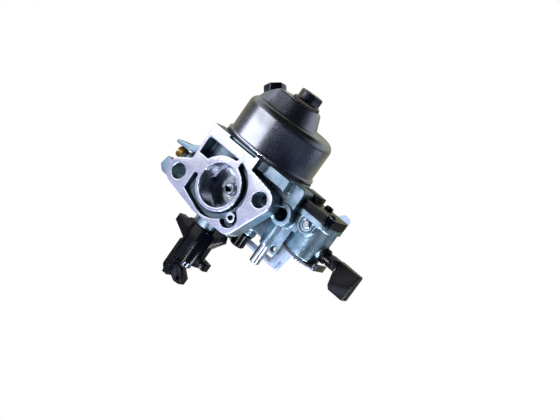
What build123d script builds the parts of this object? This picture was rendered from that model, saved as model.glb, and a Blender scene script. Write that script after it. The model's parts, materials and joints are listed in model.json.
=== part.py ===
"""Side-draught float carburettor for a small single-cylinder engine.

Frame: the origin is the centre of the outlet bore on the engine flange face. +X points out of that face
towards the engine, +Y towards the mixture screw, -Y towards the fuel valve, and +Z up. Millimetres.
"""

import math
import os

from build123d import *

# ---- driving dimensions -------------------------------------------------------------------------
BODY_LENGTH = 47.0        # engine flange face to air cleaner flange face
OUTLET_R = 9.5            # throttle bore
THROAT_R = 7.0            # venturi
INLET_R = 11.2            # choke bore
STUD_SPACING = 42.0       # both flanges take the same pair of M6 studs
STUD_TILT = 18.2          # the stud line leans up towards +Y
STUD_HOLE_R = 3.5
X_THROTTLE = -12.0        # throttle shaft axis
X_NOZZLE = -22.8          # main nozzle, post and float bowl axis
X_CHOKE = -35.6           # choke shaft axis
RUNNING_GAP = 0.05        # radial clearance of a shaft in its bore

RING_R = 11.4             # outside of the raised ring round the outlet
FLANGE_DEPTH = 8.0
FACE_RECESS = 3.6
Z_RIM = -20.0             # joint between body and bowl
ROOF_R = 22.2
BARREL_R = 13.2

BOWL_R = 21.0
BOWL_SHEET = 1.0
Z_SHOULDER = -39.4        # bottom of the bowl's round part
Z_SUMP = -47.2            # bottom of the bowl's sump
SUMP_TAPER = 22.0
DRAIN_SLOPE = 42.0        # the flat that carries the drain bolt

THROTTLE_SHAFT_R = 2.5
CHOKE_SHAFT_R = 2.0
THROTTLE_BOSS_TOP = 20.2
CHOKE_BOSS_TOP = 18.0
LEVER_SCREW_Y = -2.4
LEVER_HUB_R = 5.7
LEVER_HUB_TOP = 36.4

VALVE_X, VALVE_Y = -20.0, -40.8    # fuel valve housing axis
VALVE_R = 7.9
VALVE_TOP, VALVE_BOTTOM = 3.7, -13.8
VALVE_TURN_Z = -2.5                # height of the fuel lever's axis, along Y
VALVE_FACE_Y = -49.1               # spot face that the lever's shoulder turns against
COCK_R = 3.0                       # bore that the lever's plug turns in
COCK_END_Y = -35.4                 # blind end of that bore
COCK_PORT_Y = -37.6                # port of the plug, over the strainer chamber
COCK_GROOVE_R = 2.1                # groove that the clip's screw reaches into
SEAL_Y0, SEAL_Y1 = -46.6, -45.0    # the plug's seal
GALLERY_Y, GALLERY_Z, GALLERY_R = -38.8, -9.4, 4.4   # round end of the passage boss
STRAINER_R = 5.9                   # strainer chamber
STRAINER_TOP = -7.0
COVER_X0, COVER_X1 = VALVE_X - 9.2, VALVE_X + 9.6
COVER_Y0, COVER_Y1 = VALVE_Y - 6.8, VALVE_Y + 9.6
SMALL_SCREW_R = 1.15
NIPPLE_X, NIPPLE_Y = -18.0, -25.8
NIPPLE_R, NIPPLE_TOP = 2.3, 19.4   # the part that the hose goes over
NIPPLE_SEAT_R = 2.6                # the part pressed into the boss
NIPPLE_BOSS_TOP = 10.4

PILOT_JET_X, PILOT_JET_Y = -20.5, -12.8
MIX_X, MIX_Z = -10.0, 1.6          # mixture screw axis, along Y
STOP_Y, STOP_Z = 9.2, 23.6         # throttle stop screw axis, along X

FLOAT_PIN_Y, FLOAT_PIN_Z = -15.6, -23.0
FLOAT_DROP = 8.0                   # degrees that the empty float hangs below level
NEEDLE_Y = -9.6

CHOKE_PIVOT_Z = 2.0                # choke lever axis, along Y, under the choke shaft's arm
CHOKE_FORK_H = 16.0                # height of the fork above the lever's axis
CHOKE_HALF_SWING = 20.0            # the fork leans this far to +X with the choke shut and to -X with it open
CHOKE_RATIO = 2.0                  # choke shaft angle over lever angle
CHOKE_ARM_Z = 20.2
CHOKE_SCREW_Z = (-3.6, 3.6)
HANDLE_ANGLE = 135.0               # from the fork round to the handle, seen from the front


# ---- small helpers ------------------------------------------------------------------------------
def cyl_x(r, x0, x1, y, z):
    return Pos((x0 + x1) / 2, y, z) * Rot(0, 90, 0) * Cylinder(r, abs(x1 - x0))


def cyl_y(r, y0, y1, x, z):
    return Pos(x, (y0 + y1) / 2, z) * Rot(90, 0, 0) * Cylinder(r, abs(y1 - y0))


def cyl_z(r, z0, z1, x, y):
    return Pos(x, y, (z0 + z1) / 2) * Cylinder(r, abs(z1 - z0))


def cone_z(r_low, r_high, z0, z1, x, y):
    return Pos(x, y, (z0 + z1) / 2) * Cone(r_low, r_high, z1 - z0)


def block(x0, x1, y0, y1, z0, z1):
    return Pos((x0 + x1) / 2, (y0 + y1) / 2, (z0 + z1) / 2) * Box(x1 - x0, y1 - y0, z1 - z0)


def round_box(x0, x1, y0, y1, z0, z1, r, axis):
    """A block whose four edges along one axis are rounded."""
    b = block(x0, x1, y0, y1, z0, z1)
    return fillet(b.edges().filter_by(axis), r)


def tube_z(r_out, r_in, z0, z1, x, y):
    return cyl_z(r_out, z0, z1, x, y) - cyl_z(r_in, z0 - 1, z1 + 1, x, y)


def hull_of(circles):
    """The tight outline round some circles, each given as (x, y, radius)."""
    edges = [e for x, y, r in circles for e in (Pos(x, y) * Circle(r)).edges()]
    return make_hull(edges)


def stud_centres():
    a = math.radians(STUD_TILT)
    half = STUD_SPACING / 2
    return [(s * half * math.cos(a), s * half * math.sin(a)) for s in (-1, 1)]


def hexagon_prism(across_flats, height):
    return extrude(RegularPolygon(across_flats / 2, 6, major_radius=False), height)


def coil(r_mid, wire_r, length, turns):
    """A compression spring along +Z from the origin."""
    helix = Helix(pitch=length / turns, height=length, radius=r_mid)
    ring = Plane(origin=helix @ 0, z_dir=helix % 0) * Circle(wire_r)
    return sweep(ring, path=helix, is_frenet=True)


def cross_slots(width, length, depth, z_top):
    slot = Pos(0, 0, z_top) * Box(length, width, 2 * depth)
    return slot + Rot(0, 0, 90) * slot


def pan_screw(head_r, head_h, shank_r, shank_l, slot=0.7):
    """A cross-recess pan-head screw, head up from z = 0 and shank down."""
    head = fillet(cyl_z(head_r, 0, head_h, 0, 0).edges().sort_by(Axis.Z)[-1], head_h * 0.45)
    head -= cross_slots(slot, head_r * 1.25, head_h * 0.5, head_h)
    return head + cyl_z(shank_r, -shank_l, 0.01, 0, 0)


# ---- the casting --------------------------------------------------------------------------------
def engine_flange():
    left, right = stud_centres()
    plate = hull_of([(*left, 6.0), (-13.6, 9.8, 5.0), (2.5, 10.4, 5.2), (*right, 6.2), (-6.0, -8.5, 6.0)])
    web = Pos(4.6, -9.0) * Rectangle(27.2, 22.0)
    outline = plate + web
    solid = extrude(Plane.YZ * outline, -FLANGE_DEPTH)
    return solid


def face_recess():
    """The cored channel round the outlet ring, with its teardrop round the balance hole."""
    crescent = Circle(14.2) & (Pos(-10, 0) * Rectangle(20, 40))
    crescent -= Pos(2, -12.6) * Rectangle(10, 8)
    upper = make_face(Polyline((-1, 5), (-1, 13.9), (1.2, 14.1), (13.2, 10.3), (13.2, 2.0), (8, 2.0),
                               close=True))
    drop = hull_of([(-13.0, 8.0, 4.1), (-10.2, 4.0, 2.6)])
    channel = crescent + upper + drop
    channel -= Circle(RING_R)
    channel -= Pos(-13.6, 7.2) * Circle(2.3)
    return extrude(Plane.YZ * channel, -FACE_RECESS)


def corner_pocket():
    """The deep pocket between the outlet ring, the thin side wall and the float chamber."""
    pocket = make_face(Polyline((6, -5.8), (16.7, -5.8), (16.7, -14.0), (-1.5, -14.0), close=True))
    pocket -= Circle(RING_R + 1.3)
    return extrude(Plane.YZ * pocket, -(FLANGE_DEPTH - 0.9))


def inlet_flange():
    left, right = stud_centres()
    plate = hull_of([(*left, 6.2), (0, 0, 15.2), (*right, 6.2)])
    return Pos(-BODY_LENGTH, 0, 0) * extrude(Plane.YZ * plate, 6.0)


def air_passage():
    """Choke bore, venturi and throttle bore as one turned shape."""
    e = 1.0
    outline = Polyline(
        (e, 0), (e, OUTLET_R), (-15.0, OUTLET_R), (-20.2, THROAT_R), (-25.0, THROAT_R),
        (-31.5, INLET_R), (-BODY_LENGTH + 0.8, INLET_R), (-BODY_LENGTH - e, INLET_R + 1.8),
        (-BODY_LENGTH - e, 0),
        close=True,
    )
    return revolve(Plane.XY * make_face(outline), Axis.X)


def fuel_side():
    """Everything cast on the -Y side: valve housing, its arm, nipple boss, cored boss and cable ear."""
    housing = cyl_z(VALVE_R, VALVE_BOTTOM, VALVE_TOP, VALVE_X, VALVE_Y)
    spot_face = cyl_y(3.9, VALVE_FACE_Y, VALVE_Y, VALVE_X, VALVE_TURN_Z)
    rim = round_box(COVER_X0, COVER_X1, COVER_Y0, COVER_Y1, VALVE_BOTTOM, VALVE_BOTTOM + 2.4, 3.4, Axis.Z)
    arm = block(-25.0, -14.0, -36.0, -14.0, VALVE_BOTTOM, -2.8)
    gallery = cyl_x(GALLERY_R, -22.0, -11.0, GALLERY_Y, GALLERY_Z)
    gallery_foot = block(-22.0, -11.0, GALLERY_Y - GALLERY_R, GALLERY_Y + GALLERY_R, VALVE_BOTTOM, GALLERY_Z)
    nipple_boss = cyl_z(3.4, -8.0, NIPPLE_BOSS_TOP, NIPPLE_X, NIPPLE_Y)
    nipple_web = block(-20.0, -16.0, -25.0, -10.0, -6.0, 8.5)
    cored_boss = cyl_x(4.9, -20.0, -8.6, -27.6, -6.2)
    column = block(-18.5, -9.2, -30.9, -18.0, Z_RIM, -6.2)
    column = fillet(column.edges().filter_by(Axis.X), 1.6)
    ear = block(-18.5, -15.2, -33.2, -28.4, -6.0, 8.6) + cyl_x(2.4, -18.5, -15.2, -30.8, 8.6)
    screw_boss = cyl_z(2.4, VALVE_TOP - 1, VALVE_TOP + 0.72, VALVE_X, VALVE_Y)
    body = (housing + spot_face + rim + arm + gallery + gallery_foot + nipple_boss + nipple_web + cored_boss
            + column + ear + screw_boss)
    body -= cyl_x(2.9, -18.6, -8.0, -27.6, -6.2)
    body -= cyl_x(1.2, -20.0, -14.0, -30.8, 8.6)
    body -= cyl_x(2.0, -12.2, -10.0, GALLERY_Y, GALLERY_Z)
    # an arched groove round the plug sets the passage boss off from its rim
    arch = cyl_x(3.5, -11.6, -10.0, GALLERY_Y, GALLERY_Z) - cyl_x(2.8, -12, -9, GALLERY_Y, GALLERY_Z)
    arch -= block(-12, -9, GALLERY_Y - 5, GALLERY_Y + 5, GALLERY_Z - 5, GALLERY_Z)
    for y0 in (GALLERY_Y - 3.5, GALLERY_Y + 2.8):
        arch += block(-11.6, -10, y0, y0 + 0.7, VALVE_BOTTOM + 2.4, GALLERY_Z + 0.01)
    return body - arch


def fuel_cavities():
    """Strainer chamber, plug bore and drillings, in the fuel's order from the nipple to the needle seat."""
    chamber = cyl_z(STRAINER_R, VALVE_BOTTOM - 1, STRAINER_TOP, VALVE_X, VALVE_Y)
    cock = cyl_y(COCK_R, VALVE_FACE_Y - 1, COCK_END_Y, VALVE_X, VALVE_TURN_Z)
    down = cyl_z(1.1, STRAINER_TOP - 1, VALVE_TURN_Z, VALVE_X, COCK_PORT_Y)
    nipple_seat = cyl_z(NIPPLE_SEAT_R, -2.0, 11.0, NIPPLE_X, NIPPLE_Y)
    drop_hole = cyl_z(1.4, -5.6, -1.9, NIPPLE_X, NIPPLE_Y)
    lead_in = cyl_y(1.0, COCK_END_Y - 1, NIPPLE_Y, NIPPLE_X - 1.2, VALVE_TURN_Z - 2.1)
    across = cyl_y(1.1, VALVE_Y + 2, NEEDLE_Y, NIPPLE_X - 1.5, -12.2)
    tapped = cyl_z(SMALL_SCREW_R, VALVE_TURN_Z, VALVE_TOP + 2, VALVE_X, VALVE_Y)
    for x, y in cover_screw_spots():
        tapped += cyl_z(SMALL_SCREW_R, VALVE_BOTTOM - 1, VALVE_BOTTOM + 2.3, x, y)
    return chamber + cock + down + nipple_seat + drop_hole + lead_in + across + tapped


def mixture_side():
    """Boss of the mixture screw on the +Y side, between its two guard fins."""
    boss = cyl_y(4.1, 8.0, 24.6, MIX_X, MIX_Z)
    root = block(-15.0, -6.5, 8.0, 20.0, MIX_Z - 4.1, MIX_Z + 4.1)
    upper = extrude(
        Plane.YZ * make_face(Polyline((15, 5.2), (33.6, 6.2), (34.6, 11.0), (32.0, 13.2), (15, 14.0),
                                      close=True)),
        -7.0,
    )
    lower = extrude(
        Plane.YZ * make_face(Polyline((12, -9.4), (18.5, -8.8), (27.0, -4.4), (34.2, -2.6), (34.2, -1.0),
                                      (27.0, -1.4), (18, -4.4), (12, -4.4), close=True)),
        -7.0,
    )
    fins = Pos(-7.6, 0, 0) * (upper + lower)
    return boss + root + fins


def float_post_and_hinge():
    post = cyl_z(5.0, -44.6, -12.0, X_NOZZLE, 0)
    posts = [block(X_NOZZLE + s * 5.4 - 1.2, X_NOZZLE + s * 5.4 + 1.2, FLOAT_PIN_Y - 1.9, FLOAT_PIN_Y + 1.9,
                   FLOAT_PIN_Z - 1.9, -18.0) for s in (-1, 1)]
    return post + posts[0] + posts[1]


def carb_body():
    barrel = cyl_x(BARREL_R, -BODY_LENGTH + 2, -2, 0, 0)
    roof = cyl_z(ROOF_R, Z_RIM, -14.4, X_NOZZLE, 0)
    roof = fillet(roof.edges().sort_by(Axis.Z)[-1], 1.6)
    front_lip = block(-9.5, -4.6, -24.4, -8.0, Z_RIM, -14.6)
    saddle = block(-41.0, -4.0, -10.5, 10.5, -16.0, -4.0)
    throttle_boss = cyl_z(5.25, 0, THROTTLE_BOSS_TOP, X_THROTTLE, 0)
    choke_boss = cyl_z(4.4, 0, CHOKE_BOSS_TOP, X_CHOKE, 0)
    jet_boss = cyl_z(4.7, -6.0, 12.0, PILOT_JET_X, PILOT_JET_Y)
    jet_web = block(-23.0, -18.0, -12.8, 0, 6.0, 11.6)
    stop_lug = round_box(-25.6, -20.6, STOP_Y - 3.0, STOP_Y + 3.0, 7.0, STOP_Z + 3.2, 2.4, Axis.X)
    pivot_boss = cyl_y(4.4, -27.0, -9.0, X_CHOKE, CHOKE_PIVOT_Z)
    ribs = [block(-41.5, -8.0, y - 0.9, y + 0.9, 8.0, 13.8) for y in (5.2, -3.4)]
    foot = block(-41.5, -27.0, -8.5, 8.5, -19.0, -8.0)

    body = barrel + roof + front_lip + saddle + foot + engine_flange() + inlet_flange()
    body += throttle_boss + choke_boss + jet_boss + jet_web + stop_lug + pivot_boss
    body += ribs[0] + ribs[1]
    body += fuel_side() + mixture_side()
    # the float chamber's inside under the roof, then what hangs in it
    body -= cyl_z(BOWL_R - 2.2, Z_RIM - 1, Z_RIM + 1.6, X_NOZZLE, 0)
    body += float_post_and_hinge()

    body -= face_recess() + corner_pocket()
    body -= air_passage()
    body -= fuel_cavities()
    for y, z in stud_centres():
        body -= cyl_x(STUD_HOLE_R, -BODY_LENGTH - 1, 1, y, z)
    # shafts, each through the top of the barrel into a blind seat below
    body -= cyl_z(THROTTLE_SHAFT_R + RUNNING_GAP, -13.6, 30, X_THROTTLE, 0)
    body -= cyl_z(CHOKE_SHAFT_R + RUNNING_GAP, -14.6, 30, X_CHOKE, 0)
    # main nozzle, jet and bowl bolt share the post
    body -= cyl_z(2.2, -33.0, 0, X_NOZZLE, 0)
    body -= cyl_z(3.0, -45, -32.9, X_NOZZLE, 0)
    body -= cyl_y(1.3, -6, 0, X_NOZZLE, -34.6)
    # needle seat, float pin, pilot jet, mixture screw, stop screw, choke lever pin
    body -= cyl_z(3.2, Z_RIM - 1, -13.8, X_NOZZLE, NEEDLE_Y)
    body -= cyl_x(0.8, X_NOZZLE - 8, X_NOZZLE + 8, FLOAT_PIN_Y, FLOAT_PIN_Z)
    body -= cyl_z(2.0, -8.0, 13, PILOT_JET_X, PILOT_JET_Y)
    body -= cyl_y(1.6 + RUNNING_GAP, OUTLET_R + 1.6, 26, MIX_X, MIX_Z) + cyl_y(1.0, 8, 12, MIX_X, MIX_Z)
    body -= cyl_x(1.5 + RUNNING_GAP, -27, -19, STOP_Y, STOP_Z)
    body -= cyl_y(2.6 + RUNNING_GAP, -28, -16.9, X_CHOKE, CHOKE_PIVOT_Z)
    body -= cyl_x(1.1, -FACE_RECESS - 8, 1, -13.6, 7.2)
    # shallow relief across the bottom of the engine flange, over the bowl's rim
    body -= block(-1.6, 1, -7, 8.6, Z_RIM - 1, Z_RIM + 1.3)
    return body


# ---- float bowl and what seals it ---------------------------------------------------------------
def bowl_sump(t):
    """The tapered sump, set inwards by t. It lies off centre, towards the drain bolt."""
    top = Z_SHOULDER + 1.5 + t
    outline = hull_of([(0, 1.6, 13.2 - t), (0, 7.8, 12.4 - t)])
    return extrude(Plane((0, 0, top)) * outline, -(top - Z_SUMP - t), taper=SUMP_TAPER)


def bowl_outside():
    """A drawn cup with a flat shoulder, a tapered sump and a slanted flat for the drain bolt."""
    cup = cyl_z(BOWL_R, Z_SHOULDER, Z_RIM - 0.8, 0, 0)
    cup = fillet(cup.edges().sort_by(Axis.Z)[0], 4.0)
    sump = fillet(bowl_sump(0).faces().sort_by(Axis.Z)[0].edges(), 1.6)
    return cup + (sump & cyl_z(BOWL_R - 0.2, Z_SUMP, Z_SHOULDER + 1.6, 0, 0))


def drain_plane():
    """Local frame of the slanted flat: origin at its middle, z outwards."""
    a = math.radians(DRAIN_SLOPE)
    return Plane(origin=(0, 15.2, -42.6), x_dir=(1, 0, 0), z_dir=(0, math.sin(a), -math.cos(a)))


def float_bowl():
    half_space = drain_plane() * (Pos(0, 0, 15) * Box(60, 60, 30))
    outer = bowl_outside() - half_space
    inner_cup = fillet(cyl_z(BOWL_R - BOWL_SHEET, Z_SHOULDER + BOWL_SHEET, Z_RIM, 0, 0)
                       .edges().sort_by(Axis.Z)[0], 3.0)
    inner_sump = bowl_sump(BOWL_SHEET) & cyl_z(BOWL_R - 1.3, Z_SUMP, Z_SHOULDER + 3, 0, 0)
    inner = (inner_cup + inner_sump) - drain_plane() * (Pos(0, 0, 15 - BOWL_SHEET) * Box(60, 60, 30))
    rim = cyl_z(BOWL_R + 1.0, Z_RIM - 2.0, Z_RIM - 0.8, 0, 0)
    rim = fillet(rim.edges().sort_by(Axis.Z)[0], 0.55)
    pad = drain_plane() * (Pos(0, 0, -1.0) * Cylinder(5.0, 2.2))
    bowl = (outer + rim + (pad & (bowl_outside() - half_space))) - inner
    bowl -= cyl_z(3.2, Z_SUMP - 1, Z_SUMP + 3, 0, 0)
    bowl -= drain_plane() * Cylinder(3.0, 8)
    return Pos(X_NOZZLE, 0, 0) * bowl


def bowl_gasket():
    return tube_z(BOWL_R + 0.9, BOWL_R - 1.6, Z_RIM - 0.8, Z_RIM, X_NOZZLE, 0)


def bowl_bolt():
    head = chamfer(hexagon_prism(9.4, 4.4).edges().sort_by(Axis.Z)[:6], 0.4)
    head = Pos(0, 0, -5.6) * Rot(0, 0, 14) * head
    flange = cone_z(5.6, 6.4, -1.9, -1.2, 0, 0)
    bolt = head + flange + cyl_z(2.9, -1.2, 9.0, 0, 0)
    bolt -= cyl_z(1.3, 3.0, 10, 0, 0)
    return Pos(X_NOZZLE, 0, Z_SUMP) * bolt


def bowl_washer():
    return tube_z(6.6, 3.0, Z_SUMP - 1.2, Z_SUMP, X_NOZZLE, 0)


def on_drain(shape):
    return Pos(X_NOZZLE, 0, 0) * (drain_plane() * shape)


def drain_bolt():
    head = Pos(0, 0, 1.0) * chamfer(hexagon_prism(8.8, 3.6).edges().sort_by(Axis.Z)[-6:], 0.4)
    return on_drain(head + cyl_z(2.85, -4.6, 1.2, 0, 0))


def drain_washer():
    return on_drain(tube_z(4.9, 3.0, 0, 1.0, 0, 0))


# ---- float, needle and jets ---------------------------------------------------------------------
def float_tilt():
    """Carries a level float to its empty position, hanging from the hinge pin."""
    return Pos(0, FLOAT_PIN_Y, FLOAT_PIN_Z) * Rot(-FLOAT_DROP, 0, 0) * Pos(0, -FLOAT_PIN_Y, -FLOAT_PIN_Z)


def float_chamber_float():
    ring = tube_z(17.4, 7.2, -32.6, -25.4, 0, 0)
    ring = fillet(ring.edges().filter_by(GeomType.CIRCLE).group_by(SortBy.RADIUS)[-1], 1.2)
    level = ring - block(-8.2, 8.2, -30, -6.0, -40, -20)
    level += block(-8.9, 8.9, -9.0, -6.8, -27.4, -24.6)
    for x in (-3.0, 3.0):
        level += block(x - 0.9, x + 0.9, FLOAT_PIN_Y - 1.2, -7.4, -25.2, -22.2)
    level += block(-3.5, 3.5, NEEDLE_Y - 1.6, NEEDLE_Y + 1.6, -25.3, -24.4)
    level -= cyl_x(0.85, -6, 6, FLOAT_PIN_Y, FLOAT_PIN_Z)
    return float_tilt() * (Pos(X_NOZZLE, 0, 0) * level)


def float_pin():
    return cyl_x(0.78, X_NOZZLE - 7.4, X_NOZZLE + 7.4, FLOAT_PIN_Y, FLOAT_PIN_Z)


def needle_seat():
    seat = cyl_z(3.2, -20.4, -13.8, X_NOZZLE, NEEDLE_Y)
    seat -= cyl_z(1.75, -21, -16.4, X_NOZZLE, NEEDLE_Y)
    return seat - cyl_z(0.8, -17, -13, X_NOZZLE, NEEDLE_Y)


def float_needle():
    """Hangs one lift below its seat, resting just over the float's tab."""
    drop = (NEEDLE_Y - FLOAT_PIN_Y) * math.sin(math.radians(FLOAT_DROP))
    stem = cyl_z(1.55, -23.9, -18.2, X_NOZZLE, NEEDLE_Y)
    tip = cone_z(1.55, 0.3, -18.2, -16.6, X_NOZZLE, NEEDLE_Y)
    return Pos(0, 0, -drop) * (stem + tip)


def main_nozzle():
    tube = cyl_z(2.2, -32.9, -7.2, X_NOZZLE, 0) + cyl_z(1.5, -7.2, -1.4, X_NOZZLE, 0)
    tube -= cyl_z(0.9, -34, 0, X_NOZZLE, 0)
    for z in (-30.0, -27.0, -24.0):
        tube -= cyl_x(0.4, X_NOZZLE - 3, X_NOZZLE + 3, 0, z) + cyl_y(0.4, -3, 3, X_NOZZLE, z)
    return tube


def main_jet():
    jet = cyl_z(2.9, -36.6, -33.0, X_NOZZLE, 0) - cyl_z(0.45, -38, -32, X_NOZZLE, 0)
    return jet - block(X_NOZZLE - 3, X_NOZZLE + 3, -0.4, 0.4, -37, -35.6)


def pilot_jet():
    jet = cyl_z(1.9, -4.5, 12.0, PILOT_JET_X, PILOT_JET_Y)
    return jet - cyl_z(0.6, -5, 4, PILOT_JET_X, PILOT_JET_Y)


def pilot_jet_cap():
    cap = chamfer(cyl_z(3.5, 12.0, 19.4, PILOT_JET_X, PILOT_JET_Y).edges().sort_by(Axis.Z)[-1], 0.7)
    return cap + cyl_z(4.2, 12.0, 13.4, PILOT_JET_X, PILOT_JET_Y)


# ---- mixture screw and throttle stop ------------------------------------------------------------
def mixture_screw():
    head = chamfer(cyl_z(2.6, 0, 3.6, 0, 0).edges().filter_by(GeomType.CIRCLE), 0.35)
    head -= Pos(0, 0, 3.6) * Box(6, 0.8, 2.2)
    flutes = [Rot(0, 0, 30 * k) * (Pos(2.75, 0, 1.7) * Box(0.5, 0.35, 2.2)) for k in range(12)]
    for f in flutes:
        head -= f
    stem = cyl_z(1.6, -15.6, 0.01, 0, 0) + cone_z(0.35, 1.2, -18.0, -15.6, 0, 0)
    return Pos(MIX_X, 28.0, MIX_Z) * Rot(-90, 0, 0) * (head + stem)


def mixture_spring():
    return Pos(MIX_X, 24.9, MIX_Z) * Rot(-90, 0, 0) * coil(2.15, 0.28, 2.8, 3.5)


def throttle_stop_screw():
    head = chamfer(cyl_z(3.0, 0, 4.2, 0, 0).edges().sort_by(Axis.Z)[-1], 0.5)
    head -= cross_slots(0.9, 4.0, 1.4, 4.2)
    stem = cyl_z(1.5, -15.3, 0.01, 0, 0)
    return Pos(-29.6, STOP_Y, STOP_Z) * Rot(0, -90, 0) * (head + stem)


def throttle_stop_spring():
    return Pos(-29.3, STOP_Y, STOP_Z) * Rot(0, 90, 0) * coil(2.1, 0.3, 3.4, 4)


# ---- throttle -----------------------------------------------------------------------------------
def throttle_shaft():
    shaft = cyl_z(THROTTLE_SHAFT_R, -13.3, LEVER_HUB_TOP - 0.6, X_THROTTLE, 0)
    flat = block(X_THROTTLE, X_THROTTLE + 4, -4, 4, -9.47, 9.47)
    shaft -= flat
    return shaft - cyl_x(1.25, X_THROTTLE - 4, X_THROTTLE + 4, 0, 0)


def throttle_plate():
    disc = cyl_x(9.38, X_THROTTLE, X_THROTTLE + 1.0, 0, 0)
    return disc - cyl_x(1.25, X_THROTTLE - 1, X_THROTTLE + 2, 0, 0)


def throttle_plate_screw():
    screw = pan_screw(2.7, 1.9, 1.25, 2.9)
    return Pos(X_THROTTLE + 1.0, 0, 0) * Rot(0, 90, 0) * screw


def arm_outline(points):
    return make_face(Polyline(*points, close=True))


def throttle_lever():
    """Black moulded lever: hub, linkage arm, low arm, stop web and a tall two-pronged governor fork."""
    z0 = THROTTLE_BOSS_TOP + 0.3
    top = LEVER_HUB_TOP
    hub = extrude(Pos(0, 0, z0) * hull_of([(0, 0, LEVER_HUB_R), (0, -2.0, 6.1)]), top - z0)
    low = extrude(Plane.YZ * arm_outline([(3, 29.8), (5.5, 29.4), (13.2, 25.9), (13.2, 22.5), (9.4, 22.5),
                                          (7.2, z0), (3, z0)]), 2.3, both=True)
    web = extrude(Plane.YZ * arm_outline([(-3, 27.0), (-7.8, 26.6), (-12.2, 20.4), (-11.0, 17.4),
                                          (-6.4, 17.4), (-6.4, z0), (-3, z0)]), 1.8, both=True)
    linkage = arm_outline([(-3.0, 0), (-3.0, -8.6), (-1.9, -12.3), (1.9, -12.3), (3.0, -8.6), (3.0, 0)])
    linkage = extrude(Pos(0, 0, top - 4.6) * linkage, 3.6)
    upright = Pos(-3.2, 0, 0) * extrude(
        Plane.YZ * arm_outline([(0.9, top - 6), (0.9, 47.1), (3.4, 47.1), (5.4, 43.9), (5.4, top - 6)]), 6.4)
    for y in (2.0, 4.1):
        upright -= block(2.75, 4, y - 0.45, y + 0.45, top - 1, 48)
    finger = extrude(Plane.YZ * arm_outline([(2, 40.4), (2, 44.6), (-3.4, 47.1), (-6.4, 46.8), (-6.4, 43.4),
                                             (-2.6, 40.4)]), 2.4, both=True)
    lever = hub + low + web + linkage + upright + finger
    lever -= cyl_z(1.15, top - 6, top, 0, -10.2)
    lever -= cyl_x(0.9, -5, 5, -4.5, 45.0)
    lever -= cyl_z(THROTTLE_SHAFT_R, z0 - 1, top - 0.6, 0, 0)
    lever -= cyl_z(1.2, top - 1, top + 1, 0, LEVER_SCREW_Y)
    return Pos(X_THROTTLE, 0, 0) * lever


def throttle_lever_screw():
    """Large pan-head screw with a captive washer that clamps the lever on its shaft."""
    washer_t = 0.8
    screw = Pos(0, 0, washer_t) * pan_screw(2.75, 2.5, 1.2, washer_t + 0.5, 0.9)
    return Pos(X_THROTTLE, LEVER_SCREW_Y, LEVER_HUB_TOP) * (screw + cyl_z(3.1, 0, washer_t, 0, 0))


def throttle_seal():
    z0 = THROTTLE_BOSS_TOP
    return tube_z(4.6, THROTTLE_SHAFT_R + RUNNING_GAP, z0, z0 + 0.25, X_THROTTLE, 0)


# ---- choke --------------------------------------------------------------------------------------
def choke_shaft():
    shaft = cyl_z(CHOKE_SHAFT_R, -14.3, CHOKE_ARM_Z + 1.2, X_CHOKE, 0)
    shaft -= block(X_CHOKE - 4, X_CHOKE, -4, 4, -11.17, 11.17)
    for z in CHOKE_SCREW_Z:
        shaft -= cyl_x(1.0, X_CHOKE - 4, X_CHOKE + 4, 0, z)
    return shaft


def choke_plate():
    disc = cyl_x(10.95, X_CHOKE - 0.9, X_CHOKE, 0, 0)
    for z in CHOKE_SCREW_Z:
        disc -= cyl_x(1.0, X_CHOKE - 4, X_CHOKE + 4, 0, z)
    return disc - cyl_x(1.3, X_CHOKE - 4, X_CHOKE + 4, 6.6, 0)


def choke_plate_screws():
    screw = Rot(0, -90, 0) * pan_screw(2.0, 1.3, 1.0, 2.6, 0.5)
    pair = [Pos(X_CHOKE - 0.9, 0, z) * screw for z in CHOKE_SCREW_Z]
    return pair[0] + pair[1]


def choke_arm():
    """Steel arm on the choke shaft, with a pin that hangs into the lever's fork."""
    half = math.radians(CHOKE_HALF_SWING)
    radius = CHOKE_FORK_H * math.sin(half) / math.sin(CHOKE_RATIO * half)
    arm = extrude(Pos(0, 0, CHOKE_ARM_Z) * hull_of([(0, 0, 3.6), (0, -radius, 1.9)]), 1.2)
    arm -= cyl_z(CHOKE_SHAFT_R, CHOKE_ARM_Z - 1, CHOKE_ARM_Z + 3, 0, 0)
    arm += cyl_z(0.8, CHOKE_PIVOT_Z + CHOKE_FORK_H - 2.6, CHOKE_ARM_Z + 0.1, 0, -radius)
    return Pos(X_CHOKE, 0, 0) * Rot(0, 0, CHOKE_HALF_SWING * CHOKE_RATIO) * arm


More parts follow.
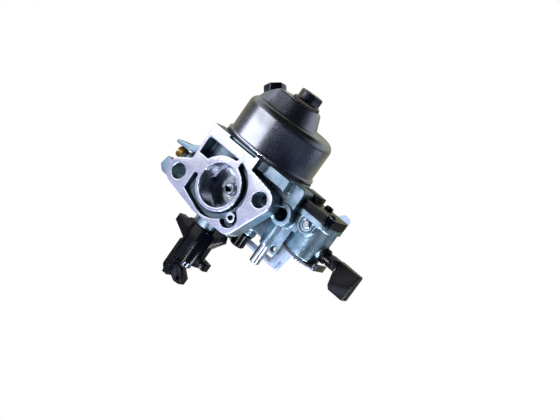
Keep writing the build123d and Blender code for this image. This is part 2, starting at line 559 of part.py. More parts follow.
def choke_lever():
    """Grey moulded lever: pin, round hub, long handle with a thumb stop, short arm and two tines."""
    inner = -27.2
    pin = chamfer(cyl_y(2.6, inner, -17.2, 0, 0).edges().sort_by(Axis.Y)[-1], 0.5)
    hub = fillet(cyl_y(4.6, inner - 4.0, inner, 0, 0).edges().sort_by(Axis.Y)[0], 1.2)
    # local frame of the lever's front: x along +X, y up along the fork
    front = Plane(origin=(0, inner, 0), x_dir=(1, 0, 0), z_dir=(0, -1, 0))
    handle = arm_outline([(-2.4, -2.0), (-2.0, 24.0), (-3.7, 25.6), (-3.7, 28.2), (-2.3, 34.2), (0.4, 36.0),
                          (2.6, 34.0), (3.3, 28.0), (2.4, 24.6), (2.4, -2.0)])
    handle = extrude(front * (Rot(0, 0, HANDLE_ANGLE) * handle), 3.6)
    handle = chamfer(handle.faces().sort_by(Axis.Y)[0].edges(), 0.6)
    short = extrude(front * (Rot(0, 0, -HANDLE_ANGLE + 20) * (Pos(0, 4.4) * Rectangle(5.2, 8.8))), 3.0)
    tall_top = CHOKE_FORK_H + 1.0
    tall = extrude(front * arm_outline([(-4.4, 0), (-3.8, tall_top), (3.8, tall_top), (4.4, 0)]), 3.0)
    slot, tine = 3.4, 2.0
    lever = pin + hub + handle + short + tall
    for side in (-1, 1):
        x = side * (slot + tine) / 2
        lever += block(x - tine / 2, x + tine / 2, inner - 2, -5.0, CHOKE_FORK_H - 1.1, CHOKE_FORK_H + 1.1)
    lever -= block(-slot / 2, slot / 2, inner - 3.5, inner + 0.5, CHOKE_FORK_H - 3.0, CHOKE_FORK_H + 3)
    return Pos(X_CHOKE, 0, CHOKE_PIVOT_Z) * Rot(0, CHOKE_HALF_SWING, 0) * lever


def choke_seal():
    return tube_z(3.9, CHOKE_SHAFT_R + RUNNING_GAP, CHOKE_BOSS_TOP, CHOKE_BOSS_TOP + 1.0, X_CHOKE, 0)


# ---- fuel valve ---------------------------------------------------------------------------------
def fuel_lever():
    """Black plug cock in one piece: plug, shoulder, neck, arm and a flat paddle.

    The plug is fed at its inner end and lets fuel out through one port, which looks down with the paddle up.
    """
    x, z = VALVE_X, VALVE_TURN_Z
    end = COCK_END_Y - 0.55
    plug = cyl_y(COCK_R - RUNNING_GAP, VALVE_FACE_Y - 0.2, end, x, z)
    for y0, y1, root_r in ((VALVE_Y - 1.5, VALVE_Y + 1.5, COCK_GROOVE_R), (SEAL_Y0, SEAL_Y1, 2.3)):
        plug -= cyl_y(5, y0, y1, x, z) - cyl_y(root_r, y0 - 1, y1 + 1, x, z)
    plug -= cyl_y(1.2, COCK_PORT_Y - 1.2, end + 1, x, z) + cyl_z(1.0, z - 4, z, x, COCK_PORT_Y)
    shoulder = cyl_y(3.4, VALVE_FACE_Y - 1.9, VALVE_FACE_Y - 0.1, x, z)
    neck = cyl_y(2.6, -54.0, VALVE_FACE_Y - 1.8, x, z)
    arm = block(x - 2.4, x + 2.4, -58.2, -53.0, z - 2.5, z + 2.5)
    paddle = make_face(Polyline((-57.6, -5.4), (-68.6, -5.4), (-68.6, 7.0), (-60.6, 7.0), (-59.2, 5.6),
                                (-57.6, 0.0), close=True))
    paddle = Pos(x, 0, 0) * extrude(Plane.YZ * paddle, 2.2, both=True)
    paddle = fillet(paddle.edges().filter_by(Axis.X).group_by(Axis.Y)[0], 0.8)
    return plug + shoulder + neck + arm + paddle


def fuel_packing():
    """Square-section seal ring in the plug's outer groove."""
    ring = cyl_y(COCK_R - 0.02, SEAL_Y0 + 0.1, SEAL_Y1 - 0.1, VALVE_X, VALVE_TURN_Z)
    return ring - cyl_y(2.32, SEAL_Y0 - 1, SEAL_Y1 + 1, VALVE_X, VALVE_TURN_Z)


def fuel_wave_spring():
    """Presses the plug outwards against the clip's screw, so that it turns with some friction."""
    ring = cyl_y(2.8, COCK_END_Y - 0.5, COCK_END_Y, VALVE_X, VALVE_TURN_Z)
    return ring - cyl_y(1.6, COCK_END_Y - 1, COCK_END_Y + 1, VALVE_X, VALVE_TURN_Z)


def top_clip():
    """Arched steel strip over the valve housing, its front end turned down over the lever's shoulder."""
    front, back = -51.3, -33.4
    under = [(front, VALVE_TOP + 0.15), (VALVE_Y, VALVE_TOP + 0.72), (back, VALVE_TOP + 0.3)]
    over = [(y, z + 0.9) for y, z in under]
    strip = make_face([ThreePointArc(*under), Line(under[2], over[2]), ThreePointArc(*over),
                       Line(over[0], under[0])])
    clip = Pos(VALVE_X, 0, 0) * extrude(Plane.YZ * strip, 5.5, both=True)
    clip += block(VALVE_X - 5.5, VALVE_X + 5.5, front, front + 0.9, 1.8, VALVE_TOP + 0.5)
    return clip - cyl_z(1.2, 0, 8, VALVE_X, VALVE_Y)


def top_clip_screw():
    return Pos(VALVE_X, VALVE_Y, VALVE_TOP + 1.62) * pan_screw(2.0, 1.6, SMALL_SCREW_R, 5.55, 0.5)


def strainer_cover():
    """Black moulded cover under the valve housing, with a tongue towards the body."""
    z0, z1 = VALVE_BOTTOM - 3.7, VALVE_BOTTOM
    disc = round_box(COVER_X0, COVER_X1, COVER_Y0, COVER_Y1, z0, z1, 3.4, Axis.Z)
    tongue = block(-26.0, -19.2, -33.0, -24.8, Z_RIM - 0.2, z1 - 0.2)
    plug = tube_z(STRAINER_R - 0.3, 4.4, z1 - 0.1, z1 + 3.0, VALVE_X, VALVE_Y)
    cover = disc + tongue + plug
    cover -= cyl_z(4.4, z1 - 1.8, z1 + 4, VALVE_X, VALVE_Y)
    for x, y in cover_screw_spots():
        cover -= cyl_z(1.3, z0 - 1, z1 + 1, x, y)
    return cover


def cover_screw_spots():
    return [(VALVE_X + s * 7.0, VALVE_Y - s * 4.9) for s in (-1, 1)]


def cover_screws():
    screw = Rot(180, 0, 0) * pan_screw(1.9, 1.4, SMALL_SCREW_R, 5.6, 0.5)
    pair = [Pos(x, y, VALVE_BOTTOM - 3.7) * screw for x, y in cover_screw_spots()]
    return pair[0] + pair[1]


def strainer_screen():
    z0 = VALVE_BOTTOM + 3.0
    screen = tube_z(STRAINER_R - 0.3, 4.4, z0, z0 + 0.8, VALVE_X, VALVE_Y)
    for k in range(-2, 3):
        bar = block(VALVE_X - 5, VALVE_X + 5, VALVE_Y + 1.7 * k - 0.25, VALVE_Y + 1.7 * k + 0.25, z0 + 0.2, z0 + 0.6)
        cross = block(VALVE_X + 1.7 * k - 0.25, VALVE_X + 1.7 * k + 0.25, VALVE_Y - 5, VALVE_Y + 5, z0 + 0.2, z0 + 0.6)
        screen += (bar + cross) & cyl_z(5.0, z0, z0 + 1, VALVE_X, VALVE_Y)
    return screen


def strainer_seal():
    return tube_z(STRAINER_R, STRAINER_R - 0.3, VALVE_BOTTOM, VALVE_BOTTOM + 2.0, VALVE_X, VALVE_Y)


def fuel_nipple():
    tube = cyl_z(NIPPLE_R, NIPPLE_BOSS_TOP, NIPPLE_TOP, NIPPLE_X, NIPPLE_Y)
    tube = chamfer(tube.edges().sort_by(Axis.Z)[-1], 0.4)
    tube += cyl_z(NIPPLE_SEAT_R, -2.0, NIPPLE_BOSS_TOP + 0.4, NIPPLE_X, NIPPLE_Y)
    return tube - cyl_z(1.6, -3.0, NIPPLE_TOP + 1, NIPPLE_X, NIPPLE_Y)


def passage_plug():
    plug = cyl_x(2.0, -12.2, -10.2, GALLERY_Y, GALLERY_Z)
    return fillet(plug.edges().sort_by(Axis.X)[-1], 0.9)


NODES = {
    "carb_body": carb_body, "float_bowl": float_bowl, "bowl_gasket": bowl_gasket, "bowl_bolt": bowl_bolt,
    "bowl_washer": bowl_washer, "drain_bolt": drain_bolt, "drain_washer": drain_washer,
    "float": float_chamber_float, "float_pin": float_pin, "needle_seat": needle_seat, "float_needle": float_needle,
    "main_nozzle": main_nozzle, "main_jet": main_jet, "pilot_jet": pilot_jet, "pilot_jet_cap": pilot_jet_cap,
    "mixture_screw": mixture_screw, "mixture_spring": mixture_spring,
    "throttle_stop_screw": throttle_stop_screw, "throttle_stop_spring": throttle_stop_spring,
    "throttle_shaft": throttle_shaft, "throttle_plate": throttle_plate,
    "throttle_plate_screw": throttle_plate_screw, "throttle_lever": throttle_lever,
    "throttle_lever_screw": throttle_lever_screw, "throttle_seal": throttle_seal,
    "choke_shaft": choke_shaft, "choke_plate": choke_plate, "choke_plate_screws": choke_plate_screws,
    "choke_arm": choke_arm, "choke_lever": choke_lever, "choke_seal": choke_seal,
    "fuel_lever": fuel_lever, "fuel_packing": fuel_packing, "fuel_wave_spring": fuel_wave_spring,
    "top_clip": top_clip, "top_clip_screw": top_clip_screw, "strainer_cover": strainer_cover,
    "cover_screws": cover_screws, "strainer_screen": strainer_screen, "strainer_seal": strainer_seal,
    "fuel_nipple": fuel_nipple, "passage_plug": passage_plug,
}

os.makedirs("parts", exist_ok=True)
for node, make in NODES.items():
    export_step(make(), f"parts/{node}.step")
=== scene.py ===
"""Looks of a side-draught float carburettor: cast, plated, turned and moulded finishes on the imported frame.

The row's frame is kept: origin at the outlet bore on the engine flange face, +X out of it, +Z up. Metres.
"""

import functools
import json
import math

import bmesh
import bpy
from mathutils import Matrix, Vector


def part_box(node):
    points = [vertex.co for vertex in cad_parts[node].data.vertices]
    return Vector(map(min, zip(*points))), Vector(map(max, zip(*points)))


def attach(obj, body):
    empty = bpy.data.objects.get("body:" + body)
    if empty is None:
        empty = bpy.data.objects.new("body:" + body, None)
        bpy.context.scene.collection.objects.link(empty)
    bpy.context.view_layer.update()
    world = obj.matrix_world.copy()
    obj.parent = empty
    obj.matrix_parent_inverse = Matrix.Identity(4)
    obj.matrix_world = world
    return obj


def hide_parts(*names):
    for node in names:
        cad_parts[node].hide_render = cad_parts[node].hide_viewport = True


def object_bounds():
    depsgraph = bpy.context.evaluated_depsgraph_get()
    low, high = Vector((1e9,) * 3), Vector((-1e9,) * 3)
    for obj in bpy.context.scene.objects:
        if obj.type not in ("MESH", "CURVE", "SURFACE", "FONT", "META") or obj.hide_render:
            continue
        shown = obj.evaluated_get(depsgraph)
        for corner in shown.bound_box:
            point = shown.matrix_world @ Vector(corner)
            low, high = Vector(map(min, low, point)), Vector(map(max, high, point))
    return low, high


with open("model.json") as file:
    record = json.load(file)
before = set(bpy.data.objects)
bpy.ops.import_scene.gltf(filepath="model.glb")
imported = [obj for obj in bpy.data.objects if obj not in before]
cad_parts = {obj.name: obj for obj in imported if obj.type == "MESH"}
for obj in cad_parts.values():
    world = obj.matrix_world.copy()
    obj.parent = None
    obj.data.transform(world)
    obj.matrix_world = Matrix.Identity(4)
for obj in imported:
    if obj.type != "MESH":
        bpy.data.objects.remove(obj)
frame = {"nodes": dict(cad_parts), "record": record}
CAD_LOW, CAD_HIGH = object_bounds()

MM = 0.001
NODE_BODY = {node: body for body, nodes in frame["record"]["behaviour"]["bodies"].items() for node in nodes}
NODE_SLOT = {part["node"]: part["material_slot"] for part in frame["record"]["subparts"]}

# where the casting is machined
ENGINE_FACE_X = 0.0
INLET_FACE_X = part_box("carb_body")[0][0]
FACE_BAND = 0.2 * MM                # a milled face reaches this deep
BORED_RADIUS = 9.6 * MM             # the outlet bore with a hair over

# how each shape is finished
EDGE_ANGLE = math.radians(30)       # edges sharper than this are broken
SMOOTH_ANGLE = math.radians(32)     # corners sharper than this stay crisp
CASTING_SMOOTH_ANGLE = math.radians(50)
CASTING_VOXEL = 0.3 * MM
CASTING_TRIANGLES = 190000
MERGE_DISTANCE = 2e-6
FLAT_ANGLE = math.radians(1.0)

WHITE = "#ffffff"


# ---- node and colour helpers --------------------------------------------------------------------
def linear(hex_code):
    """An sRGB hex colour as a linear RGBA tuple."""
    channels = [int(hex_code[i:i + 2], 16) / 255 for i in (1, 3, 5)]
    return (*[c / 12.92 if c <= 0.04045 else ((c + 0.055) / 1.055) ** 2.4 for c in channels], 1.0)


def add_node(tree, kind, inputs=None, stops=None, **settings):
    """Adds a node. Inputs are sockets by name or number, each given a value, a socket, or a node, which means
    that node's first live output. Stops are a ramp's (position, hex colour). Settings are its properties."""
    node = tree.nodes.new("ShaderNode" + kind)
    for name, value in settings.items():
        setattr(node, name, value)
    for socket, value in (inputs or {}).items():
        if isinstance(value, bpy.types.Node):
            value = next(output for output in value.outputs if output.enabled)
        if isinstance(value, bpy.types.NodeSocket):
            tree.links.new(value, node.inputs[socket])
        else:
            node.inputs[socket].default_value = value
    for i, (position, colour) in enumerate(stops or ()):
        if i >= len(node.color_ramp.elements):
            node.color_ramp.elements.new(1.0)
        node.color_ramp.elements[i].position = position
        node.color_ramp.elements[i].color = linear(colour)
    return node


def new_material(name):
    """An empty material, the call that adds a node to it, and the place on the object in metres."""
    material = bpy.data.materials.new(name)
    material.use_nodes = True
    material.node_tree.nodes.clear()
    node = functools.partial(add_node, material.node_tree)
    return material, node, node("TexCoord").outputs["Object"]


def repeats(size_mm):
    """The scale of a pattern whose features are this size."""
    return 1 / (size_mm * MM)


# ---- materials ----------------------------------------------------------------------------------
def die_cast_aluminium():
    """Die-cast aluminium: a grey, slightly mottled matt skin, with its flange faces milled bright and flat
    and its bores turned to a shine."""
    material, node, place = new_material("die_cast_aluminium")
    # flow marks a few millimetres wide, and the die's grain, drawn coarser than life so that it shows
    mottle = node("TexNoise", {"Vector": place, "Scale": repeats(5.0), "Detail": 4.0, "Roughness": 0.55})
    grain = node("TexNoise", {"Vector": place, "Scale": repeats(0.55), "Detail": 6.0, "Roughness": 0.7})
    ripple = node("TexNoise", {"Vector": place, "Scale": repeats(2.2), "Detail": 4.0, "Roughness": 0.55})
    skin = node("ValToRGB", {"Fac": mottle}, [(0.3, "#6f8899"), (0.5, "#95adbc"), (0.7, "#b8cbd8")])
    grained = node("MapRange", {"Value": grain, "From Min": 0.35, "From Max": 0.7, "To Max": 0.35})
    skin = node("Mix", {0: grained, 6: skin, 7: linear("#5d7184")}, data_type="RGBA")
    # painted shade: the skin is darkened towards a deep blue-grey in inside corners, as far as the ambient
    # occlusion finds them closed in
    open_sky = node("AmbientOcclusion", {"Distance": 5 * MM}, samples=6, only_local=True).outputs["AO"]
    painted_corner_shade = node("MapRange", {"Value": open_sky, "From Min": 0.25, "From Max": 0.85, "To Min": 0.92,
                               "To Max": 0.0})
    skin = node("Mix", {0: painted_corner_shade, 6: skin, 7: linear("#121c26")}, data_type="RGBA")
    skin_rough = node("MapRange", {"Value": grain, "From Min": 0.3, "From Max": 0.7, "To Min": 0.28,
                                   "To Max": 0.44})

    # milled: flat, and at one of the two flange faces; bored: near the bores' axis
    x, y, z = node("SeparateXYZ", {"Vector": place}).outputs
    facing = node("SeparateXYZ", {"Vector": node("NewGeometry").outputs["Normal"]})
    front = node("Math", {0: x, 1: ENGINE_FACE_X - FACE_BAND}, operation="GREATER_THAN")
    back = node("Math", {0: x, 1: INLET_FACE_X + FACE_BAND}, operation="LESS_THAN")
    at_a_face = node("Math", {0: front, 1: back}, operation="MAXIMUM")
    along = node("Math", {0: facing}, operation="ABSOLUTE")
    flat = node("Math", {0: along, 1: 0.9}, operation="GREATER_THAN")
    milled = node("Math", {0: at_a_face, 1: flat}, operation="MULTIPLY")
    across = node("CombineXYZ", {"Y": y, "Z": z})
    reach = node("VectorMath", {0: across}, operation="LENGTH").outputs["Value"]
    bored = node("Math", {0: reach, 1: BORED_RADIUS}, operation="LESS_THAN")
    cut = node("Math", {0: milled, 1: bored}, operation="MAXIMUM")

    # the cutter's rings, drawn wide enough to show
    lay = node("TexWave", {"Vector": place, "Scale": repeats(2.2), "Distortion": 0.6, "Detail": 2.0,
                           "Detail Scale": 2.0}, wave_type="RINGS", rings_direction="X")
    patches = node("TexNoise", {"Vector": place, "Scale": repeats(9.0), "Detail": 4.0, "Roughness": 0.55})
    bright = node("ValToRGB", {"Fac": patches}, [(0.3, "#c6c9dc"), (0.7, "#e2e4f2")])
    smoother = node("MapRange", {"Value": lay, "To Min": -0.2, "To Max": -0.14})
    rough = node("Math", {0: cut, 1: smoother, 2: skin_rough}, operation="MULTIPLY_ADD")

    pores = node("Bump", {"Height": grain, "Distance": 0.06 * MM, "Strength": 0.8})
    cast = node("Bump", {"Height": ripple, "Distance": 0.12 * MM, "Strength": 0.5, "Normal": pores})
    marks = node("Bump", {"Height": lay, "Distance": 0.01 * MM, "Strength": 0.4})
    shader = node("BsdfPrincipled", {
        "Metallic": 1.0, "Roughness": rough,
        "Base Color": node("Mix", {0: cut, 6: skin, 7: bright}, data_type="RGBA"),
        "Normal": node("Mix", {0: cut, 4: cast, 5: marks}, data_type="VECTOR")})
    node("OutputMaterial", {"Surface": shader})
    return material


def zinc_plate(name, dark, light, roughness):
    """Bright zinc on pressed or turned steel: a hard shine, a faint cast to its colour, and the fine orange
    peel of the bath."""
    material, node, place = new_material(name)
    # the cast drifts over a centimetre or so; the plate's crystals are drawn half a millimetre across to show
    cast = node("TexNoise", {"Vector": place, "Scale": repeats(14.0), "Detail": 2.0, "Roughness": 0.55})
    peel = node("TexNoise", {"Vector": place, "Scale": repeats(4.0), "Detail": 2.0, "Roughness": 0.55})
    fine = node("TexNoise", {"Vector": place, "Scale": repeats(0.5), "Detail": 5.0, "Roughness": 0.65})
    rough = node("MapRange", {"Value": fine, "From Min": 0.3, "From Max": 0.7, "To Min": roughness - 0.04,
                              "To Max": roughness + 0.08})
    dents = node("Bump", {"Height": peel, "Distance": 0.08 * MM, "Strength": 0.3})
    shader = node("BsdfPrincipled", {
        "Metallic": 1.0, "Roughness": rough,
        "Base Color": node("ValToRGB", {"Fac": cast}, [(0.35, dark), (0.65, light)]),
        "Normal": node("Bump", {"Height": fine, "Distance": 0.02 * MM, "Strength": 0.35, "Normal": dents})})
    node("OutputMaterial", {"Surface": shader})
    return material


def turned_metal(name, base, worn, roughness):
    """Metal turned or drawn: fine marks and a soft sheen, duller where it has been handled."""
    material, node, place = new_material(name)
    patch = node("TexNoise", {"Vector": place, "Scale": repeats(3.0), "Detail": 4.0, "Roughness": 0.55})
    # the tool's marks are finer than this in life, where they would not show
    stretched = node("Mapping", {"Vector": place, "Scale": (0.1, 1.0, 1.0)})
    lines = node("TexNoise", {"Vector": stretched, "Scale": repeats(0.35), "Detail": 3.0})
    rough = node("MapRange", {"Value": patch, "From Min": 0.3, "From Max": 0.7, "To Min": roughness + 0.1,
                              "To Max": roughness})
    shader = node("BsdfPrincipled", {
        "Metallic": 1.0, "Roughness": rough,
        "Base Color": node("ValToRGB", {"Fac": patch}, [(0.35, worn), (0.65, base)]),
        "Normal": node("Bump", {"Height": lines, "Distance": 0.02 * MM, "Strength": 0.4})})
    node("OutputMaterial", {"Surface": shader})
    return material


def faced_steel_sheet(base, worn):
    """Steel sheet faced on a lathe about the bore's axis: rings that throw the light into spokes."""
    material, node, place = new_material("faced_steel_sheet")
    # the facing cut's rings, drawn wider than life so that they show
    rings = node("TexWave", {"Vector": place, "Scale": repeats(1.6), "Distortion": 1.0, "Detail": 3.0,
                             "Detail Scale": 3.0}, wave_type="RINGS", rings_direction="X")
    patch = node("TexNoise", {"Vector": place, "Scale": repeats(4.0), "Detail": 4.0, "Roughness": 0.55})
    shader = node("BsdfPrincipled", {
        "Metallic": 1.0, "Anisotropic": 0.85,
        "Tangent": node("Tangent", direction_type="RADIAL", axis="X"),
        "Base Color": node("ValToRGB", {"Fac": patch}, [(0.35, worn), (0.65, base)]),
        "Roughness": node("MapRange", {"Value": rings, "To Min": 0.2, "To Max": 0.28}),
        "Normal": node("Bump", {"Height": rings, "Distance": 0.006 * MM, "Strength": 0.5})})
    node("OutputMaterial", {"Surface": shader})
    return material


def moulded_plastic(name, deep, pale, roughness, sheen):
    """Injection-moulded plastic: a smooth gloss with a faint flow pattern and fine scuffs. Sheen holds the
    shader values that are particular to this plastic."""
    material, node, place = new_material(name)
    # flow lines, sink marks and scuffs, the last drawn coarser than life so that they show
    flow = node("TexNoise", {"Vector": place, "Scale": repeats(7.0), "Detail": 4.0, "Roughness": 0.55})
    sink = node("TexNoise", {"Vector": place, "Scale": repeats(2.5), "Detail": 2.0, "Roughness": 0.55})
    scuff = node("TexNoise", {"Vector": place, "Scale": repeats(0.4), "Detail": 6.0, "Roughness": 0.7})
    rough = node("MapRange", {"Value": scuff, "From Min": 0.3, "From Max": 0.75, "To Min": roughness,
                              "To Max": roughness + 0.16})
    waves = node("Bump", {"Height": sink, "Distance": 0.05 * MM, "Strength": 0.35})
    shader = node("BsdfPrincipled", {
        "IOR": 1.5, "Roughness": rough, **sheen,
        "Base Color": node("ValToRGB", {"Fac": flow}, [(0.35, deep), (0.65, pale)]),
        "Normal": node("Bump", {"Height": scuff, "Distance": 0.015 * MM, "Strength": 0.5, "Normal": waves})})
    node("OutputMaterial", {"Surface": shader})
    return material


def rubber_or_fibre(name, deep, pale, roughness):
    """Moulded rubber or pressed fibre: matt, with a fine tooth."""
    material, node, place = new_material(name)
    # the tooth of the mould or of the pressed fibre, drawn coarser than life so that it shows
    tooth = node("TexNoise", {"Vector": place, "Scale": repeats(0.3), "Detail": 6.0, "Roughness": 0.7})
    shader = node("BsdfPrincipled", {
        "IOR": 1.5,
        "Base Color": node("ValToRGB", {"Fac": tooth}, [(0.3, deep), (0.7, pale)]),
        "Roughness": node("MapRange", {"Value": tooth, "From Min": 0.3, "From Max": 0.7, "To Min": roughness,
                                       "To Max": roughness + 0.12}),
        "Normal": node("Bump", {"Height": tooth, "Distance": 0.04 * MM, "Strength": 0.6})})
    node("OutputMaterial", {"Surface": shader})
    return material


BLACK_NYLON_SHEEN = {"Specular IOR Level": 0.16}        # carbon black mutes all but the sharpest lights
GREY_ACETAL_SHEEN = {"Subsurface Weight": 0.05}         # the waxy look of acetal

MATERIALS = {
    "casting": die_cast_aluminium(),
    "plated_steel": zinc_plate("zinc_plated_steel", "#9fa2ad", "#c4c9de", 0.24),
    "dark_steel": zinc_plate("dark_zinc_plated_steel", "#4a4b4c", "#757a8c", 0.2),
    "washer_fibre": rubber_or_fibre("pressed_fibre", "#37322c", "#4c463e", 0.7),
    "gasket_fibre": rubber_or_fibre("nitrile_gasket", "#101114", "#1b1c20", 0.55),
    "black_moulding": moulded_plastic("black_nylon", "#020205", "#05060b", 0.12, BLACK_NYLON_SHEEN),
    "grey_moulding": moulded_plastic("grey_acetal", "#94a3bf", "#a6b3cc", 0.32, GREY_ACETAL_SHEEN),
    "brass": turned_metal("turned_brass", "#b08a3e", "#7d602c", 0.24),
    "faced_steel": faced_steel_sheet("#b3bcc2", "#7f898f"),
    "bright_steel": turned_metal("turned_steel", "#b6bcc6", "#8c939d", 0.26),
    "spring_steel": turned_metal("drawn_spring_wire", "#8f949c", "#6c7178", 0.3),
    "rubber": rubber_or_fibre("nitrile_rubber", "#0b0b0d", "#161719", 0.5),
}
# nodes whose finish differs from their slot's
OWN_FINISH = {
    "throttle_plate": "faced_steel", "choke_plate": "faced_steel",
    "bowl_bolt": "dark_steel", "drain_bolt": "dark_steel", "throttle_lever_screw": "dark_steel",
    "cover_screws": "dark_steel", "top_clip": "dark_steel",
}


def coat(obj, material):
    obj.data.materials.clear()
    obj.data.materials.append(material)


def finish_of(node):
    return MATERIALS[OWN_FINISH.get(node, NODE_SLOT[node])]


# ---- pieces -------------------------------------------------------------------------------------
def joined_copy(node, name):
    """A new object with the node's shape, its loose triangles merged into one skin."""
    mesh = frame["nodes"][node].data.copy()
    mesh.name = name
    mesh.materials.clear()
    piece = bpy.data.objects.new(name, mesh)
    bpy.context.scene.collection.objects.link(piece)
    shape = bmesh.new()
    shape.from_mesh(mesh)
    bmesh.ops.remove_doubles(shape, verts=shape.verts, dist=MERGE_DISTANCE)
    bmesh.ops.dissolve_limit(shape, angle_limit=FLAT_ANGLE, verts=shape.verts, edges=shape.edges)
    shape.to_mesh(mesh)
    shape.free()
    return piece


def apply_modifiers(piece):
    evaluated = piece.evaluated_get(bpy.context.evaluated_depsgraph_get())
    mesh = bpy.data.meshes.new_from_object(evaluated)
    piece.modifiers.clear()
    piece.data = mesh


def finish_piece(piece, node, smooth_angle):
    """Smooths the piece, coats it, and lets it stand for its CAD node."""
    piece.data.shade_smooth()
    piece.data.set_sharp_from_angle(angle=smooth_angle)
    coat(piece, finish_of(node))
    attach(piece, NODE_BODY[node])
    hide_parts(node)


def soft_edged(node, width_mm):
    """The node's shape with its edges broken by a small rounding, as a tumbled or moulded piece has."""
    piece = joined_copy(node, node + "_finished")
    bevel = piece.modifiers.new("edge", "BEVEL")
    bevel.width = width_mm * MM
    bevel.segments = 2
    bevel.limit_method = "ANGLE"
    bevel.angle_limit = EDGE_ANGLE
    apply_modifiers(piece)
    finish_piece(piece, node, SMOOTH_ANGLE)


def cast_body():
    """The casting with every edge softened and every inside corner filled a little, as metal leaves a die."""
    piece = joined_copy("carb_body", "body_casting")
    skin = piece.modifiers.new("skin", "REMESH")
    skin.mode = "VOXEL"
    skin.voxel_size = CASTING_VOXEL
    soften = piece.modifiers.new("soften", "SMOOTH")
    soften.factor = 0.5
    soften.iterations = 3
    apply_modifiers(piece)
    thin = piece.modifiers.new("thin", "DECIMATE")
    thin.ratio = min(1.0, CASTING_TRIANGLES / (2 * len(piece.data.polygons)))
    apply_modifiers(piece)
    finish_piece(piece, "carb_body", CASTING_SMOOTH_ANGLE)


# how far each piece's edges are broken, mm
EDGE_MM = {
    "float_bowl": 0.3, "bowl_bolt": 0.25, "bowl_washer": 0.2, "drain_bolt": 0.25, "drain_washer": 0.15,
    "throttle_lever": 0.3, "fuel_lever": 0.4, "choke_lever": 0.3, "strainer_cover": 0.4, "pilot_jet_cap": 0.3,
    "top_clip": 0.15, "choke_arm": 0.15, "throttle_stop_screw": 0.3, "mixture_screw": 0.12,
    "fuel_nipple": 0.2, "throttle_plate": 0.1, "choke_plate": 0.1, "throttle_shaft": 0.15,
    "choke_shaft": 0.15,
    "top_clip_screw": 0.1, "throttle_plate_screw": 0.1, "throttle_lever_screw": 0.1, "cover_screws": 0.1,
    "choke_plate_screws": 0.1, "passage_plug": 0.15, "float": 0.3,
}

cast_body()
for node_name, node_object in frame["nodes"].items():
    if node_name in EDGE_MM:
        soft_edged(node_name, EDGE_MM[node_name])
    elif node_name != "carb_body":
        coat(node_object, finish_of(node_name))


# ---- floor, light and camera --------------------------------------------------------------------
VIEW_AZIMUTH, VIEW_ELEVATION = math.radians(64.0), math.radians(-9.5)
TO_CAMERA = Vector((math.sin(VIEW_AZIMUTH) * math.cos(VIEW_ELEVATION),
                    -math.cos(VIEW_AZIMUTH) * math.cos(VIEW_ELEVATION), math.sin(VIEW_ELEVATION)))
UP = Vector((0, 0, 1))
LEVEL_RIGHT = UP.cross(TO_CAMERA).normalized()
LEVEL_UP = TO_CAMERA.cross(LEVEL_RIGHT).normalized()
ROLL = math.radians(215.5)          # the part is seen nearly upside down
CAMERA_DISTANCE = 0.45
FRAME_WIDTH = 0.2353                # width of the view at the outlet bore
AIM_RIGHT, AIM_DOWN = 26.05 * MM, 10.5 * MM     # the view's middle, from the outlet bore
SENSOR = 36.0
NEAR, FAR = 0.01, 20.0

FLOOR_HALF = 3.0
FLOOR_GLOW = 0.7                    # keeps the sweep pale far from the lamps

# each lamp: degrees round to the camera's right, degrees up, then distance, width and height in metres,
# radiance and colour
LAMPS = {
    "low_key": (65, -9, 0.6, 0.68, 0.38, 2.0, WHITE),
    "high_key": (60, 30, 0.6, 0.55, 0.40, 0.95, "#cbcff2"),
    "pocket_light": (40, 20, 0.5, 0.12, 0.12, 4.0, "#dfe2ff"),
    "left_strip": (-52, 44, 0.45, 0.03, 0.30, 85.0, "#eaf6ff"),
    "right_strip": (20, 34, 0.45, 0.012, 0.30, 110.0, "#f2f4ff"),
    "left_fill": (-105, 20, 0.6, 0.3, 0.4, 0.9, "#dfe6f4"),
    "overhead": (20, 80, 0.6, 0.5, 0.5, 1.3, WHITE),
    "back": (180, 35, 0.8, 0.6, 0.5, 1.3, WHITE),
}


def toward(right_degrees, up_degrees):
    """A direction from the part: level with it and towards the camera, then turned and raised."""
    level = Vector((TO_CAMERA.x, TO_CAMERA.y, 0)).normalized()
    turned = Matrix.Rotation(math.radians(right_degrees), 3, "Z") @ level
    up = math.radians(up_degrees)
    return turned * math.cos(up) + UP * math.sin(up)


def studio_floor():
    """A pale sweep under the part, seen only from above."""
    grid = bmesh.new()
    bmesh.ops.create_grid(grid, x_segments=1, y_segments=1, size=FLOOR_HALF,
                          matrix=Matrix.Translation((0, 0, CAD_LOW[2])))
    mesh = bpy.data.meshes.new("studio_floor")
    grid.to_mesh(mesh)
    grid.free()
    floor = bpy.data.objects.new("studio_floor", mesh)
    bpy.context.scene.collection.objects.link(floor)
    material, node, place = new_material("floor_paper")
    fibre = node("TexNoise", {"Vector": place, "Scale": repeats(60.0), "Detail": 4.0, "Roughness": 0.55})
    paper = node("BsdfPrincipled", {
        "Roughness": 0.9, "Emission Color": linear(WHITE), "Emission Strength": FLOOR_GLOW,
        "Base Color": node("ValToRGB", {"Fac": fibre}, [(0.3, "#eff0f2"), (0.7, "#f4f5f7")])})
    under = node("NewGeometry").outputs["Backfacing"]
    node("OutputMaterial", {"Surface": node("MixShader", {0: under, 1: paper, 2: node("BsdfTransparent")})})
    coat(floor, material)
    # the lamps reach the part from all round, and its plating mirrors a dark room below
    floor.visible_glossy = False
    floor.visible_shadow = False


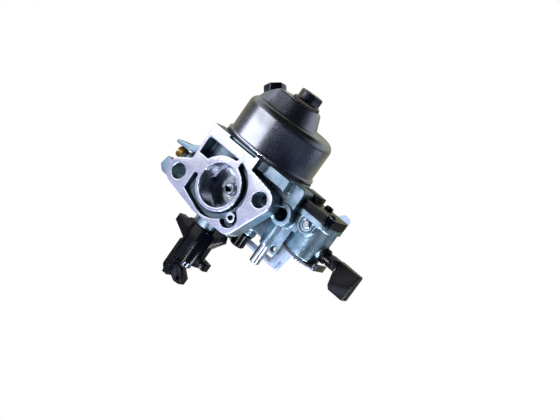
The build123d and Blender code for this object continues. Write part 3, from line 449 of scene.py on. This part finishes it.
def studio_world():
    """White behind the part; what the metal mirrors is a room that is dark in front and khaki behind."""
    world = bpy.data.worlds.new("studio")
    bpy.context.scene.world = world
    world.use_nodes = True
    world.node_tree.nodes.clear()
    node = functools.partial(add_node, world.node_tree)
    look = node("TexCoord").outputs["Generated"]
    share = {}
    for side, direction in (("front", toward(0, 0)), ("up", UP)):
        dot = node("VectorMath", {0: look, 1: direction}, operation="DOT_PRODUCT").outputs["Value"]
        share[side] = node("MapRange", {"Value": dot, "From Min": -1.0, "From Max": 1.0})
    walls = node("ValToRGB", {"Fac": share["front"]},
                 [(0.04, "#a8a587"), (0.25, "#5c6059"), (0.5, "#2b3040"), (0.9, "#1f2336")])
    skirting = node("ValToRGB", {"Fac": share["front"]},
                    [(0.05, "#c2c1b4"), (0.45, "#a5a8aa"), (0.64, "#585b63"), (0.8, "#14161e")])
    # ceiling, skirting and floor each take over from the walls between two shares of up
    room = walls
    levels = ((linear("#9aa4b6"), 0.7, 0.95), (skirting, 0.44, 0.36), (linear("#1d1e19"), 0.2, 0.1))
    for level, start, end in levels:
        change = node("MapRange", {"Value": share["up"], "From Min": start, "From Max": end})
        room = node("Mix", {0: change, 6: room, 7: level}, data_type="RGBA")
    mirrored = node("Background", {"Color": room})
    seen = node("Background", {"Color": linear(WHITE)})
    camera_ray = node("LightPath").outputs["Is Camera Ray"]
    node("OutputWorld", {"Surface": node("MixShader", {0: camera_ray, 1: mirrored, 2: seen})})


def studio_lamp(name, right_degrees, up_degrees, distance, width, height, radiance, colour):
    """A rectangular softbox that faces the part."""
    direction = toward(right_degrees, up_degrees)
    light = bpy.data.lights.new(name, "AREA")
    light.shape = "RECTANGLE"
    light.size, light.size_y = width, height
    light.energy = radiance * math.pi * width * height
    light.color = linear(colour)[:3]
    lamp = bpy.data.objects.new(name, light)
    lamp.location = direction * distance
    lamp.rotation_euler = direction.to_track_quat("Z", "Y").to_euler()
    lamp.visible_camera = False
    bpy.context.scene.collection.objects.link(lamp)


def studio_camera():
    """A long lens, a little below the part and rolled, so that the bowl stands above the flanges."""
    data = bpy.data.cameras.new("camera")
    data.sensor_width = SENSOR
    data.lens = SENSOR * CAMERA_DISTANCE / FRAME_WIDTH
    data.clip_start, data.clip_end = NEAR, FAR
    camera = bpy.data.objects.new("camera", data)
    right = LEVEL_RIGHT * math.cos(ROLL) + LEVEL_UP * math.sin(ROLL)
    up = TO_CAMERA.cross(right)
    aim = right * AIM_RIGHT - up * AIM_DOWN
    turn = Matrix((right, up, TO_CAMERA)).transposed()
    camera.matrix_world = Matrix.Translation(aim + TO_CAMERA * CAMERA_DISTANCE) @ turn.to_4x4()
    bpy.context.scene.collection.objects.link(camera)
    bpy.context.scene.camera = camera


studio_floor()
studio_world()
for lamp_name, lamp_values in LAMPS.items():
    studio_lamp(lamp_name, *lamp_values)
studio_camera()
bpy.context.scene.view_settings.view_transform = "Standard"
